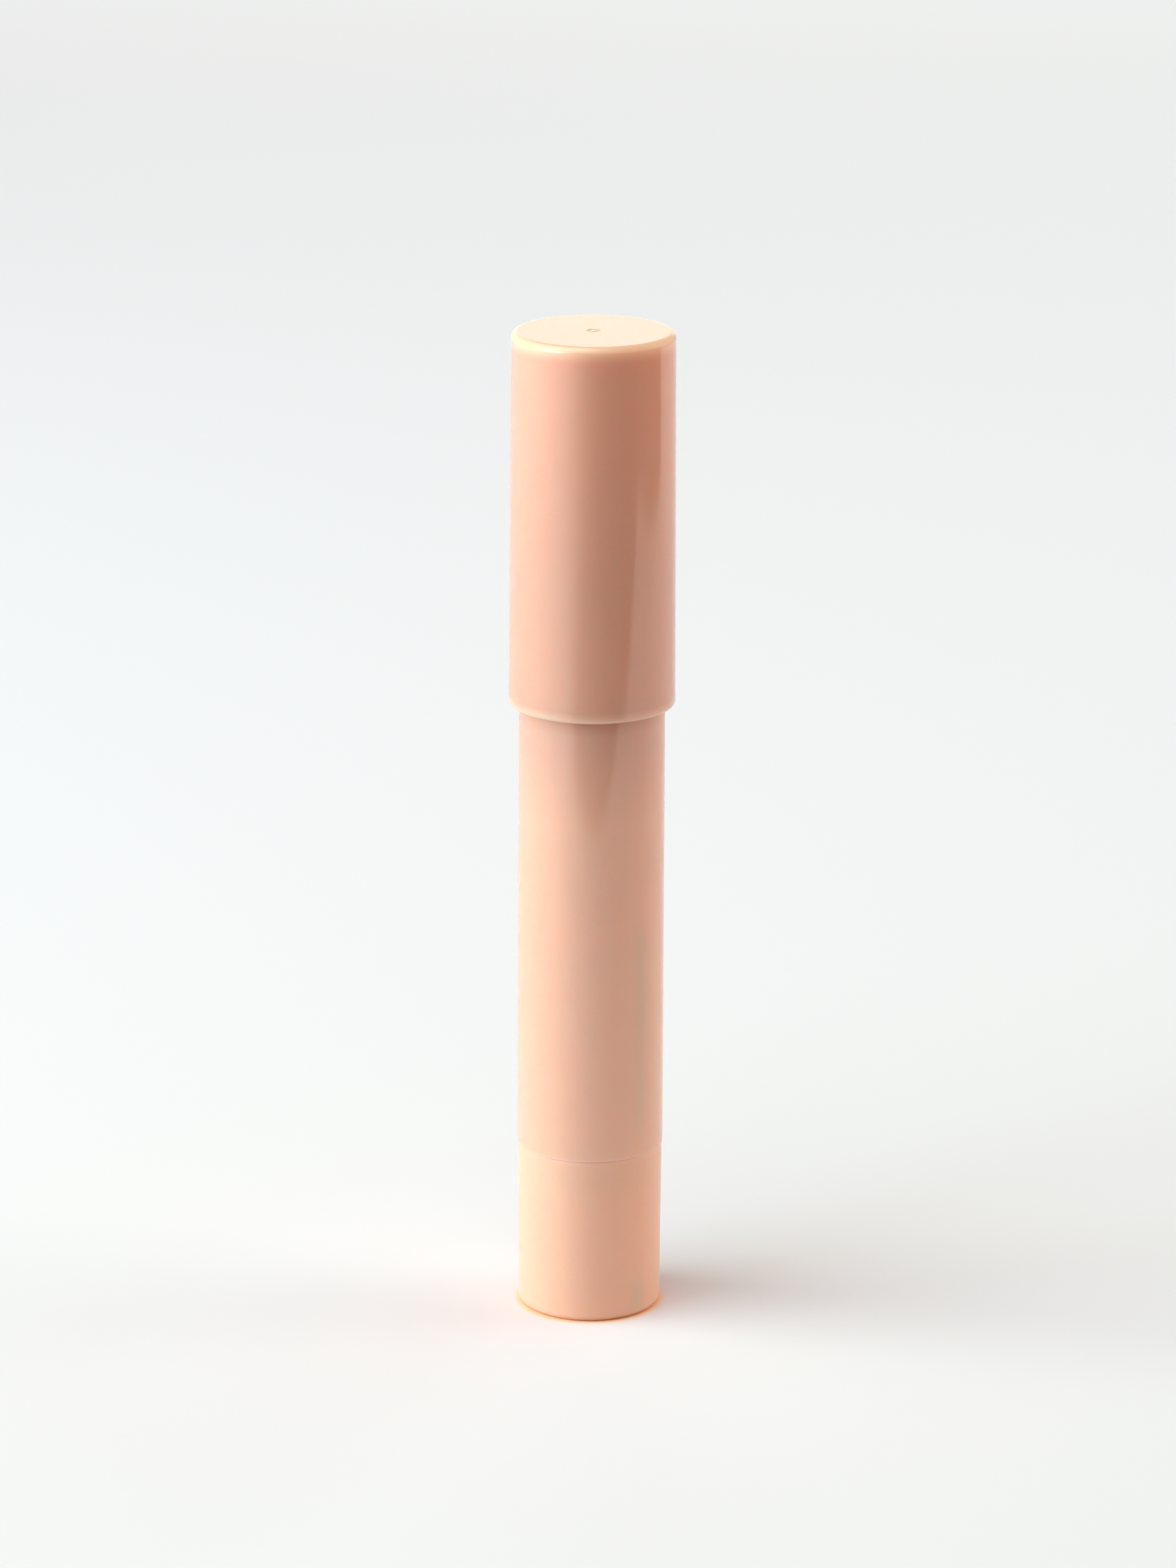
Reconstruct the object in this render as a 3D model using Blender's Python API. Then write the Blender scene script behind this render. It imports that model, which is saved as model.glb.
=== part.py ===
# Twist-up tinted lip balm: a capped stick whose base knob turns a screw that raises the balm.
# Metres, +Z up. The origin is the centre of the foot, on the surface that the stick stands on.

import math

import bmesh
import bpy
from mathutils import Matrix

# Heights of the closed stick, from the surface up
KNOB_HEIGHT = 0.0168
SEAM_GAP = 0.0002
BARREL_SHOWN = 0.04466
CAP_OVERLAP = 0.0015
CAP_LENGTH = 0.0368

# The barrel's radius at its top, which every other radius follows
BARREL_TOP_RADIUS = 0.00712

# Tapers and steps outside: the cap and the barrel widen towards the foot, the knob narrows
CAP_PROUD = 0.00076
CAP_FLARE = 0.00022
BARREL_FLARE = 0.00009
KNOB_STEP = 0.0001
KNOB_TAPER = 0.0001

# Walls
CAP_CROWN = 0.0011
BARREL_WALL = 0.00087
COLLAR_WALL = 0.00065
GUIDE_WALL = 0.0011
KNOB_WALL = 0.00105
KNOB_FLOOR = 0.0013
CUP_WALL = 0.00045

# Drive: the balm rises by one lead for each turn of the screw
THREAD_LEAD = 0.006
THREAD_STARTS = 2
NUT_LENGTH = 0.0046

# Radii of the drive as shares of the guide's bore
SCREW_CORE_SHARE = 0.37
SCREW_CREST_SHARE = 0.55
SCREW_FLANGE_SHARE = 0.78
JOURNAL_SHARE = 0.46
HEX_SHARE = 0.43
STEM_SHARE = 0.77
CUP_SKIRT_SHARE = 0.92

# Fits: pieces pressed or snapped together, and pieces that turn or slide on each other
FIXED_GAP = 0.00015
RUNNING_GAP = 0.0002

# How far cutters run past a wall, and joined shapes run into each other
OVERRUN = 0.0004

# Facets
OUTER_SIDES = 40
INNER_SIDES = 28
SMALL_SIDES = 24
THREAD_STEPS = 16
CORNER_STEPS = 3
WELD = 1e-7
SMOOTH_ANGLE = math.radians(35)

# Thicknesses and gaps along the stick, bottom to top
DRIVE_DISC = 0.0012
SOCKET_DEPTH = 0.003
GUIDE_FLOOR = 0.0022
SCREW_FLANGE = 0.001
PUSHER_CROWN = 0.0009
CUP_FLOOR = 0.0009
CUP_DEPTH = 0.0042
CUP_SHOULDER_GAP = 0.0003
SEAT_RIB_HEIGHT = 0.001
CUP_SETBACK = 0.0026
COLLAR_FLANGE = 0.0007
NECK_SHOWN = 0.00719
TIP_SETBACK = 0.0005

# Derived heights, bottom to top
barrel_foot_z = KNOB_HEIGHT + SEAM_GAP
cap_mouth_z = barrel_foot_z + BARREL_SHOWN
barrel_top_z = cap_mouth_z + CAP_OVERLAP
cap_top_z = cap_mouth_z + CAP_LENGTH
collar_flange_z = barrel_top_z + FIXED_GAP
neck_foot_z = collar_flange_z + COLLAR_FLANGE
neck_rim_z = neck_foot_z + NECK_SHOWN
insert_foot_z = KNOB_FLOOR + FIXED_GAP
guide_foot_z = insert_foot_z + DRIVE_DISC + SOCKET_DEPTH + RUNNING_GAP
guide_floor_z = guide_foot_z + GUIDE_FLOOR
flange_foot_z = guide_floor_z + RUNNING_GAP
flange_top_z = flange_foot_z + SCREW_FLANGE
nut_foot_z = flange_top_z + RUNNING_GAP
nut_top_z = nut_foot_z + NUT_LENGTH
stem_to_cup_rim = 2 * RUNNING_GAP + PUSHER_CROWN + FIXED_GAP + CUP_FLOOR + CUP_DEPTH
stroke = (neck_rim_z - CUP_SETBACK - nut_top_z - stem_to_cup_rim) / 2
screw_top_z = nut_top_z + stroke + RUNNING_GAP
stem_ceiling_z = screw_top_z + RUNNING_GAP
pusher_top_z = stem_ceiling_z + PUSHER_CROWN
cup_foot_z = pusher_top_z + FIXED_GAP
cup_floor_z = cup_foot_z + CUP_FLOOR
cup_rim_z = cup_floor_z + CUP_DEPTH
guide_top_z = cup_foot_z - CUP_SHOULDER_GAP
seat_rib_z = guide_top_z + FIXED_GAP
collar_foot_z = seat_rib_z + SEAT_RIB_HEIGHT + FIXED_GAP
balm_foot_z = cup_floor_z + FIXED_GAP
balm_tip_z = neck_rim_z - TIP_SETBACK

# Derived radii, outside in
cap_top_radius = BARREL_TOP_RADIUS + CAP_PROUD
cap_mouth_radius = cap_top_radius + CAP_FLARE
barrel_foot_radius = BARREL_TOP_RADIUS + BARREL_FLARE
knob_top_radius = barrel_foot_radius - KNOB_STEP
knob_foot_radius = knob_top_radius - KNOB_TAPER
barrel_bore = BARREL_TOP_RADIUS - BARREL_WALL
collar_spigot = barrel_bore - FIXED_GAP
neck_bore = collar_spigot - COLLAR_WALL
cup_radius = neck_bore - RUNNING_GAP
cup_bore = cup_radius - CUP_WALL
balm_radius = cup_bore - FIXED_GAP
guide_radius = barrel_bore - FIXED_GAP
guide_bore = guide_radius - GUIDE_WALL
knob_bore = knob_foot_radius - KNOB_WALL
stub_radius = knob_bore - RUNNING_GAP
screw_core_radius = guide_bore * SCREW_CORE_SHARE
screw_crest_radius = guide_bore * SCREW_CREST_SHARE
screw_flange_radius = guide_bore * SCREW_FLANGE_SHARE
journal_radius = guide_bore * JOURNAL_SHARE
hex_radius = guide_bore * HEX_SHARE
stem_bore = screw_crest_radius + 2 * RUNNING_GAP
stem_radius = guide_bore * STEM_SHARE
skirt_bore = stem_radius + FIXED_GAP
skirt_radius = guide_bore * CUP_SKIRT_SHARE

# Sizes that two pieces share
KEY_COUNT = 4
KEY_WIDTH = 0.001
KEYWAY_DEPTH = 0.00035
SPLINE_WIDTH = 0.001
SPLINE_HEIGHT = 0.00025
SNAP_HEIGHT = 0.0003
SNAP_FLAT = 0.0005
SNAP_DROP = 0.0024
DRAG_CORD_RADIUS = 0.0003
SEAL_CORD_RADIUS = 0.00025
RING_SQUEEZE_GAP = 0.00008
COLLAR_FLANGE_SETBACK = 0.0003
NECK_ROOT_WALL = 0.00068
NECK_BEAD_HEIGHT = 0.00012
KNOB_RIB_WIDTH = 0.0012
KNOB_RIB_DEPTH = 0.0008
CUP_SKIRT = 0.0035

keyway_radius = guide_bore + KEYWAY_DEPTH
key_turn = math.pi / KEY_COUNT
thread_pitch = THREAD_LEAD / THREAD_STARTS
journal_hole = journal_radius + FIXED_GAP
collar_flange_radius = BARREL_TOP_RADIUS - COLLAR_FLANGE_SETBACK
neck_radius = neck_bore + NECK_ROOT_WALL
neck_bead_radius = neck_radius + NECK_BEAD_HEIGHT
cap_bore = collar_flange_radius + RUNNING_GAP
snap_z = KNOB_HEIGHT - SNAP_DROP
drag_ring_radius = knob_bore - RING_SQUEEZE_GAP - DRAG_CORD_RADIUS
seal_ring_radius = journal_hole - RING_SQUEEZE_GAP - SEAL_CORD_RADIUS
ring_z = guide_foot_z + GUIDE_FLOOR / 2


def clear_scene():
    for obj in list(bpy.data.objects):
        bpy.data.objects.remove(obj)


def empty(name, height):
    """An axis that the pieces of one moving group hang on."""
    axis = bpy.data.objects.new(name, None)
    axis.empty_display_size = KNOB_HEIGHT
    axis.location = (0, 0, height)
    bpy.context.collection.objects.link(axis)
    return axis


def plastic(name, colour, roughness):
    material = bpy.data.materials.new(name)
    material.use_nodes = True
    shader = material.node_tree.nodes["Principled BSDF"]
    shader.inputs["Base Color"].default_value = (*colour, 1)
    shader.inputs["Roughness"].default_value = roughness
    shader.inputs["Metallic"].default_value = 0
    return material


def object_from(name, bm, material=None, parent=None, height=0.0):
    """Turns bm into an object whose own zero stands at the given height of the closed stick."""
    bmesh.ops.remove_doubles(bm, verts=bm.verts, dist=WELD)
    bmesh.ops.recalc_face_normals(bm, faces=bm.faces)
    mesh = bpy.data.meshes.new(name)
    bm.to_mesh(mesh)
    bm.free()
    mesh.shade_smooth()
    mesh.set_sharp_from_angle(angle=SMOOTH_ANGLE)
    obj = bpy.data.objects.new(name, mesh)
    bpy.context.collection.objects.link(obj)
    if material:
        mesh.materials.append(material)
    obj.location = (0, 0, height)
    if parent:
        obj.parent = parent
        obj.location.z -= parent.location.z
    return obj


def arc(centre, radius, start, end, steps=CORNER_STEPS):
    """Round corner as (radius, height) points; angles in degrees, 0 outwards and 90 up."""
    angles = [math.radians(start + (end - start) * i / steps) for i in range(steps + 1)]
    return [(centre[0] + radius * math.cos(a), centre[1] + radius * math.sin(a)) for a in angles]


def spun(outline, sides):
    """A closed (radius, height) outline turned about Z; one that meets the axis stays open there."""
    bm = bmesh.new()
    verts = [bm.verts.new((r, 0, z)) for r, z in outline]
    pairs = list(zip(verts, verts[1:]))
    if outline[0][0] > 0 or outline[-1][0] > 0:
        pairs.append((verts[-1], verts[0]))
    for pair in pairs:
        bm.edges.new(pair)
    bmesh.ops.spin(
        bm,
        geom=bm.verts[:] + bm.edges[:],
        cent=(0, 0, 0),
        axis=(0, 0, 1),
        angle=math.tau,
        steps=sides,
        use_merge=True,
    )
    return bm


def turned(name, outline, sides, material=None, parent=None, height=0.0):
    return object_from(name, spun(outline, sides), material, parent, height)


def bars(name, inner, outer, width, foot, top, count, turn=0.0):
    """Evenly spaced radial bars about Z, for keys, keyways, fins, ribs and notches."""
    bm = bmesh.new()
    for i in range(count):
        made = bmesh.ops.create_cube(bm, size=1)["verts"]
        place = Matrix.Rotation(turn + math.tau * i / count, 4, "Z")
        place @= Matrix.Translation(((inner + outer) / 2, 0, (foot + top) / 2))
        place @= Matrix.Diagonal((outer - inner, width, top - foot, 1))
        bmesh.ops.transform(bm, matrix=place, verts=made)
    return object_from(name, bm)


def prism(name, radius, sides, foot, top):
    bm = bmesh.new()
    bmesh.ops.create_cone(
        bm,
        cap_ends=True,
        segments=sides,
        radius1=radius,
        radius2=radius,
        depth=top - foot,
        matrix=Matrix.Translation((0, 0, (foot + top) / 2)),
    )
    return object_from(name, bm)


def apply_tool(body, tool, operation):
    """Keeps the tool out of the render, in the body's own frame, and combines the two."""
    tool.hide_render = True
    tool.display_type = "WIRE"
    tool.parent = body
    modifier = body.modifiers.new(tool.name, "BOOLEAN")
    modifier.operation = operation
    modifier.object = tool


def cut(body, tool):
    apply_tool(body, tool, "DIFFERENCE")


def join(body, tool):
    apply_tool(body, tool, "UNION")


# Thread form: the ridge's width at its root and its crest, as shares of the pitch, and its end in turns
THREAD_ROOT_SHARE = 0.44
THREAD_CREST_SHARE = 0.24
THREAD_SINK = 0.0002
THREAD_RUNOUT = 0.25

ridge_root = thread_pitch * THREAD_ROOT_SHARE
ridge_crest = thread_pitch * THREAD_CREST_SHARE


def thread_ridges(name, core, crest, widening, foot, top, origin, runout=0.0):
    """Left-hand ridges between two heights of a frame whose zero is at origin on the stick.

    With a runout, in turns, each end of a ridge sinks into the core.
    """
    turns = (top - foot) / THREAD_LEAD
    steps = math.ceil(turns * THREAD_STEPS)
    low = core - THREAD_SINK / 2
    bm = bmesh.new()
    for start in range(THREAD_STARTS):
        rings = []
        for i in range(steps + 1):
            done = turns * i / steps
            share = min(1, done / runout, (turns - done) / runout) if runout else 1
            tip = low + (crest - low) * share
            section = [
                (core - THREAD_SINK, -ridge_root / 2 - widening),
                (tip, -ridge_crest / 2 - widening),
                (tip, ridge_crest / 2 + widening),
                (core - THREAD_SINK, ridge_root / 2 + widening),
            ]
            height = foot + done * THREAD_LEAD
            angle = math.tau * (start / THREAD_STARTS - (origin + height) / THREAD_LEAD)
            rings.append([
                bm.verts.new((r * math.cos(angle), r * math.sin(angle), height + z))
                for r, z in section
            ])
        for ring, following in zip(rings, rings[1:]):
            for j in range(len(ring)):
                bm.faces.new((ring[j - 1], ring[j], following[j], following[j - 1]))
        bm.faces.new(rings[0])
        bm.faces.new(rings[-1])
    return object_from(name, bm)


def o_ring(name, ring_radius, cord_radius, sides, steps, material, parent, height):
    outline = arc((ring_radius, 0), cord_radius, 0, 360, steps)[:-1]
    return turned(name, outline, sides, material, parent, height)


# Cap
CAP_EDGE_RADIUS = 0.00055
CAP_RIM_RADIUS = 0.0005
CAP_RIM_INNER = 0.00015
CAP_CEILING_CORNER = 0.0006
CAP_STEP_GAP = 0.0003
GATE_RADIUS = 0.00075
GATE_DEPTH = 0.00012
GATE_NUB_RADIUS = 0.00028
GATE_NUB_DROP = 0.00004
GATE_SLOPE = 0.0001


def gate_mark(face_z, up):
    """The moulding gate's shallow dish with its nub, from the axis out; up is 1 on a top face."""
    dish_z = face_z - up * GATE_DEPTH
    return [
        (0, face_z - up * GATE_NUB_DROP),
        (GATE_NUB_RADIUS, face_z - up * GATE_NUB_DROP),
        (GATE_NUB_RADIUS + GATE_SLOPE, dish_z),
        (GATE_RADIUS - GATE_SLOPE, dish_z),
        (GATE_RADIUS, face_z),
    ]


def cap_shell(material, parent):
    mouth_bore = BARREL_TOP_RADIUS + RUNNING_GAP
    step = barrel_top_z - cap_mouth_z + CAP_STEP_GAP
    ceiling = CAP_LENGTH - CAP_CROWN
    outline = gate_mark(CAP_LENGTH, 1)
    outline += arc((cap_top_radius - CAP_EDGE_RADIUS, CAP_LENGTH - CAP_EDGE_RADIUS), CAP_EDGE_RADIUS, 90, 0)
    outline += arc((cap_mouth_radius - CAP_RIM_RADIUS, CAP_RIM_RADIUS), CAP_RIM_RADIUS, 0, -90)
    outline += [
        (mouth_bore + CAP_RIM_INNER, 0),
        (mouth_bore, CAP_RIM_INNER),
        (mouth_bore, step),
        (cap_bore, step),
    ]
    outline += arc((cap_bore - CAP_CEILING_CORNER, ceiling - CAP_CEILING_CORNER), CAP_CEILING_CORNER, 0, 90)
    outline += [(0, ceiling)]
    return turned("cap_shell", outline, OUTER_SIDES, material, parent, cap_mouth_z)


# Liner: the inner cap that seals on the neck, held in the shell by fins
LINER_WALL = 0.0006
LINER_LIP = 0.0002
LINER_THROAT_GAP = 0.001
LINER_RIM_GAP = 0.0005
LINER_CROWN_CORNER = 0.0016
LINER_FIN_COUNT = 8
LINER_FIN_WIDTH = 0.0005
LINER_FIN_SETBACK = 0.0001


def cap_liner(material, parent):
    foot_z = neck_foot_z + RUNNING_GAP
    seal = neck_bead_radius + RUNNING_GAP
    throat = balm_radius + LINER_THROAT_GAP
    outer = throat + LINER_WALL
    seat = cap_bore - FIXED_GAP
    step = neck_rim_z + LINER_RIM_GAP - foot_z
    shoulder = step + LINER_WALL
    top = cap_top_z - CAP_CROWN - FIXED_GAP - foot_z
    ceiling = top - LINER_WALL
    corner = LINER_CROWN_CORNER
    outline = [(0, top)]
    outline += arc((outer - corner, top - corner), corner, 90, 0)
    outline += [
        (outer, shoulder),
        (seat, shoulder),
        (seat, LINER_LIP),
        (seat - LINER_LIP, 0),
        (seal + LINER_LIP, 0),
        (seal, LINER_LIP),
        (seal, step),
        (throat, step),
    ]
    outline += arc((outer - corner, top - corner), corner - LINER_WALL, 0, 90)
    outline += [(0, ceiling)]
    liner = turned("cap_liner", outline, INNER_SIDES, material, parent, foot_z)
    fins = bars(
        "liner_fins",
        outer - LINER_WALL / 2,
        seat - LINER_FIN_SETBACK,
        LINER_FIN_WIDTH,
        shoulder - LINER_WALL / 2,
        top - 2 * corner,
        LINER_FIN_COUNT,
    )
    join(liner, fins)
    return liner


# Barrel
BARREL_FOOT_EDGE = 0.0003
BARREL_TOP_EDGE = 0.0003
BARREL_LEAD_IN = 0.0002
BARREL_SPLINE_SETBACK = 0.003


def barrel_sleeve(material, parent):
    top = barrel_top_z - barrel_foot_z
    rib_foot = seat_rib_z - barrel_foot_z
    rib_top = rib_foot + SEAT_RIB_HEIGHT
    rib_bore = cup_radius + RUNNING_GAP
    outline = arc((BARREL_TOP_RADIUS - BARREL_TOP_EDGE, top - BARREL_TOP_EDGE), BARREL_TOP_EDGE, 90, 0)
    outline += arc((barrel_foot_radius - BARREL_FOOT_EDGE, BARREL_FOOT_EDGE), BARREL_FOOT_EDGE, 0, -90)
    outline += [
        (barrel_bore + BARREL_LEAD_IN, 0),
        (barrel_bore, BARREL_LEAD_IN),
        (barrel_bore, rib_foot),
        (rib_bore, rib_foot),
        (rib_bore, rib_top),
        (barrel_bore, rib_top),
        (barrel_bore, top - BARREL_LEAD_IN),
        (barrel_bore + BARREL_LEAD_IN, top),
    ]
    barrel = turned("barrel_sleeve", outline, OUTER_SIDES, material, parent, barrel_foot_z)
    splines = bars(
        "barrel_splines",
        barrel_bore - SPLINE_HEIGHT,
        barrel_bore + BARREL_WALL / 2,
        SPLINE_WIDTH,
        BARREL_SPLINE_SETBACK,
        rib_foot + SEAT_RIB_HEIGHT / 2,
        KEY_COUNT,
        key_turn,
    )
    join(barrel, splines)
    return barrel


# Neck collar: the spigot in the barrel, the flange on its rim and the neck that the cap snaps over
NECK_RIM_WALL = 0.00056
NECK_RIM_CORNER = 0.00018
NECK_BEAD_FLAT = 0.0004
NECK_BEAD_SLOPE = 0.0003
NECK_BEAD_RISE = 0.0028
COLLAR_EDGE = 0.00015
COLLAR_GRIP_HEIGHT = 0.00007
COLLAR_GRIP_SLOPE = 0.0003
COLLAR_GRIP_DROP = 0.003


def neck_collar(material, parent):
    flange = collar_flange_z - collar_foot_z
    neck = flange + COLLAR_FLANGE
    rim = neck_rim_z - collar_foot_z
    bead = neck + NECK_BEAD_RISE
    grip = flange - COLLAR_GRIP_DROP
    rim_radius = neck_bore + NECK_RIM_WALL
    corner = NECK_RIM_CORNER
    outline = arc((neck_bore + corner, rim - corner), corner, 180, 90)
    outline += arc((rim_radius - corner, rim - corner), corner, 90, 0)
    outline += [
        (neck_radius, bead + NECK_BEAD_FLAT + 2 * NECK_BEAD_SLOPE),
        (neck_bead_radius, bead + NECK_BEAD_FLAT + NECK_BEAD_SLOPE),
        (neck_bead_radius, bead + NECK_BEAD_SLOPE),
        (neck_radius, bead),
        (neck_radius, neck),
        (collar_flange_radius - COLLAR_EDGE, neck),
        (collar_flange_radius, neck - COLLAR_EDGE),
        (collar_flange_radius, flange),
        (collar_spigot, flange),
        (collar_spigot, grip + COLLAR_GRIP_SLOPE),
        (collar_spigot + COLLAR_GRIP_HEIGHT, grip),
        (collar_spigot, grip - COLLAR_GRIP_SLOPE),
        (collar_spigot, COLLAR_EDGE),
        (collar_spigot - COLLAR_EDGE, 0),
        (neck_bore + COLLAR_EDGE, 0),
        (neck_bore, COLLAR_EDGE),
    ]
    return turned("neck_collar", outline, INNER_SIDES, material, parent, collar_foot_z)


# Guide sleeve: fixed in the barrel, it keeps the pusher from turning and carries the knob on its stub
GUIDE_EDGE = 0.0002
RING_GROOVE_PLAY = 0.0001


def guide_sleeve(material, parent):
    floor = guide_floor_z - guide_foot_z
    shoulder = barrel_foot_z - guide_foot_z
    top = guide_top_z - guide_foot_z
    snap = snap_z - guide_foot_z
    snap_radius = stub_radius + SNAP_HEIGHT
    groove = ring_z - guide_foot_z
    groove_half = DRAG_CORD_RADIUS + RING_GROOVE_PLAY
    groove_radius = drag_ring_radius - groove_half
    outline = [
        (journal_hole, floor),
        (journal_hole, 0),
        (stub_radius - GUIDE_EDGE, 0),
        (stub_radius, GUIDE_EDGE),
        (stub_radius, groove - groove_half),
        (groove_radius, groove - groove_half),
        (groove_radius, groove + groove_half),
        (stub_radius, groove + groove_half),
        (stub_radius, snap - SNAP_FLAT / 2 - SNAP_HEIGHT),
        (snap_radius, snap - SNAP_FLAT / 2),
        (snap_radius, snap + SNAP_FLAT / 2),
        (stub_radius, snap + SNAP_FLAT / 2 + SNAP_HEIGHT),
        (stub_radius, shoulder),
        (guide_radius, shoulder),
        (guide_radius, top - GUIDE_EDGE),
        (guide_radius - GUIDE_EDGE, top),
        (guide_bore, top),
        (guide_bore, floor),
    ]
    guide = turned("guide_sleeve", outline, INNER_SIDES, material, parent, guide_foot_z)
    keyways = bars(
        "guide_keyways",
        guide_bore - KEYWAY_DEPTH,
        keyway_radius,
        KEY_WIDTH + 2 * RUNNING_GAP,
        floor + RUNNING_GAP,
        top + OVERRUN,
        KEY_COUNT,
    )
    grooves = bars(
        "guide_spline_grooves",
        barrel_bore - SPLINE_HEIGHT - FIXED_GAP,
        guide_radius + OVERRUN,
        SPLINE_WIDTH + 2 * FIXED_GAP,
        shoulder + BARREL_SPLINE_SETBACK - FIXED_GAP,
        top + OVERRUN,
        KEY_COUNT,
        key_turn,
    )
    cut(guide, keyways)
    cut(guide, grooves)
    return guide


# Lead screw: a hexagonal tail in the drive insert, a sealed journal, a thrust flange and the thread
SCREW_FLANGE_EDGE = 0.0002
SCREW_NECK = 0.0004
TAIL_GAP = 0.0002


def lead_screw(material, parent):
    origin = insert_foot_z + TAIL_GAP
    tail_top = guide_foot_z - origin
    floor_mid = ring_z - origin
    flange_foot = flange_foot_z - origin
    flange_top = flange_top_z - origin
    top = screw_top_z - origin
    groove_half = SEAL_CORD_RADIUS + RING_GROOVE_PLAY
    groove_radius = seal_ring_radius - groove_half
    outline = [
        (0, top),
        (screw_core_radius - SCREW_FLANGE_EDGE, top),
        (screw_core_radius, top - SCREW_FLANGE_EDGE),
        (screw_core_radius, flange_top),
        (screw_flange_radius - SCREW_FLANGE_EDGE, flange_top),
        (screw_flange_radius, flange_top - SCREW_FLANGE_EDGE),
        (screw_flange_radius, flange_foot),
        (journal_radius, flange_foot),
        (journal_radius, floor_mid + groove_half),
        (groove_radius, floor_mid + groove_half),
        (groove_radius, floor_mid - groove_half),
        (journal_radius, floor_mid - groove_half),
        (journal_radius, tail_top),
        (0, tail_top),
    ]
    screw = turned("lead_screw", outline, SMALL_SIDES, material, parent, origin)
    tail = prism("screw_hex_tail", hex_radius, 6, 0, tail_top + OVERRUN)
    ridges = thread_ridges(
        "screw_ridges",
        screw_core_radius,
        screw_crest_radius,
        0,
        flange_top + SCREW_NECK + ridge_root / 2,
        top - SCREW_FLANGE_EDGE - ridge_root / 2,
        origin,
        THREAD_RUNOUT,
    )
    join(screw, tail)
    join(screw, ridges)
    return screw


# Pusher nut: threaded foot with keys, and a hollow stem that swallows the screw
PUSHER_EDGE = 0.0002
PUSHER_SNAP_HEIGHT = 0.00007
PUSHER_SNAP_SLOPE = 0.0003


def pusher_nut(material, parent):
    nut_radius = guide_bore - RUNNING_GAP
    key_radius = keyway_radius - RUNNING_GAP
    thread_core = screw_core_radius + RUNNING_GAP
    stem_foot = nut_top_z - nut_foot_z
    ceiling = stem_ceiling_z - nut_foot_z
    top = pusher_top_z - nut_foot_z
    snap = top - CUP_SKIRT / 2
    outline = [
        (0, top),
        (stem_radius - PUSHER_EDGE, top),
        (stem_radius, top - PUSHER_EDGE),
        (stem_radius, snap + PUSHER_SNAP_SLOPE),
        (stem_radius + PUSHER_SNAP_HEIGHT, snap),
        (stem_radius, snap - PUSHER_SNAP_SLOPE),
        (stem_radius, stem_foot),
        (nut_radius - PUSHER_EDGE, stem_foot),
        (nut_radius, stem_foot - PUSHER_EDGE),
        (nut_radius, PUSHER_EDGE),
        (nut_radius - PUSHER_EDGE, 0),
        (thread_core, 0),
        (thread_core, stem_foot),
        (stem_bore, stem_foot),
        (stem_bore, ceiling),
        (0, ceiling),
    ]
    pusher = turned("pusher_nut", outline, INNER_SIDES, material, parent, nut_foot_z)
    keys = bars(
        "pusher_keys",
        nut_radius - OVERRUN,
        key_radius,
        KEY_WIDTH,
        PUSHER_EDGE,
        stem_foot - PUSHER_EDGE,
        KEY_COUNT,
    )
    tap = thread_ridges(
        "pusher_tap",
        thread_core,
        screw_crest_radius + RUNNING_GAP,
        FIXED_GAP,
        -thread_pitch,
        stem_foot + thread_pitch,
        nut_foot_z,
    )
    join(pusher, keys)
    cut(pusher, tap)
    return pusher


# Balm cup: holds the foot of the balm and snaps over the pusher's stem
CUP_EDGE = 0.00015
CUP_VENT_RADIUS = 0.0007


def balm_cup(material, parent):
    origin = cup_foot_z - CUP_SKIRT
    foot = cup_foot_z - origin
    floor = cup_floor_z - origin
    rim = cup_rim_z - origin
    outline = [
        (CUP_VENT_RADIUS, floor),
        (CUP_VENT_RADIUS, foot),
        (skirt_bore, foot),
        (skirt_bore, CUP_EDGE),
        (skirt_bore + CUP_EDGE, 0),
        (skirt_radius, 0),
        (skirt_radius, foot),
        (cup_radius - CUP_EDGE, foot),
        (cup_radius, foot + CUP_EDGE),
        (cup_radius, rim - CUP_EDGE),
        (cup_radius - CUP_EDGE, rim),
        (cup_bore, rim),
        (cup_bore, floor),
    ]
    return turned("balm_cup", outline, INNER_SIDES, material, parent, origin)


# Balm: a round bar with a domed tip, drawn from a superellipse
TIP_LENGTH = 0.0068
TIP_STEPS = 7
TIP_POWER = 1.75
BALM_FOOT_EDGE = 0.0003


def balm_stick(material, parent):
    length = balm_tip_z - balm_foot_z
    shoulder = length - TIP_LENGTH
    outline = [
        (0, 0),
        (balm_radius - BALM_FOOT_EDGE, 0),
        (balm_radius, BALM_FOOT_EDGE),
    ]
    for i in range(TIP_STEPS):
        angle = math.pi / 2 * i / TIP_STEPS
        outline.append((
            balm_radius * math.cos(angle) ** (2 / TIP_POWER),
            shoulder + TIP_LENGTH * math.sin(angle) ** (2 / TIP_POWER),
        ))
    outline.append((0, length))
    return turned("balm_stick", outline, INNER_SIDES, material, parent, balm_foot_z)


# Base knob
KNOB_FOOT_EDGE = 0.0005
KNOB_TOP_EDGE = 0.00015
KNOB_LEAD_IN = 0.00025
FOOT_RING = 0.0014
FOOT_RECESS = 0.0003
KNOB_RIB_HEIGHT = 0.0022


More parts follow.
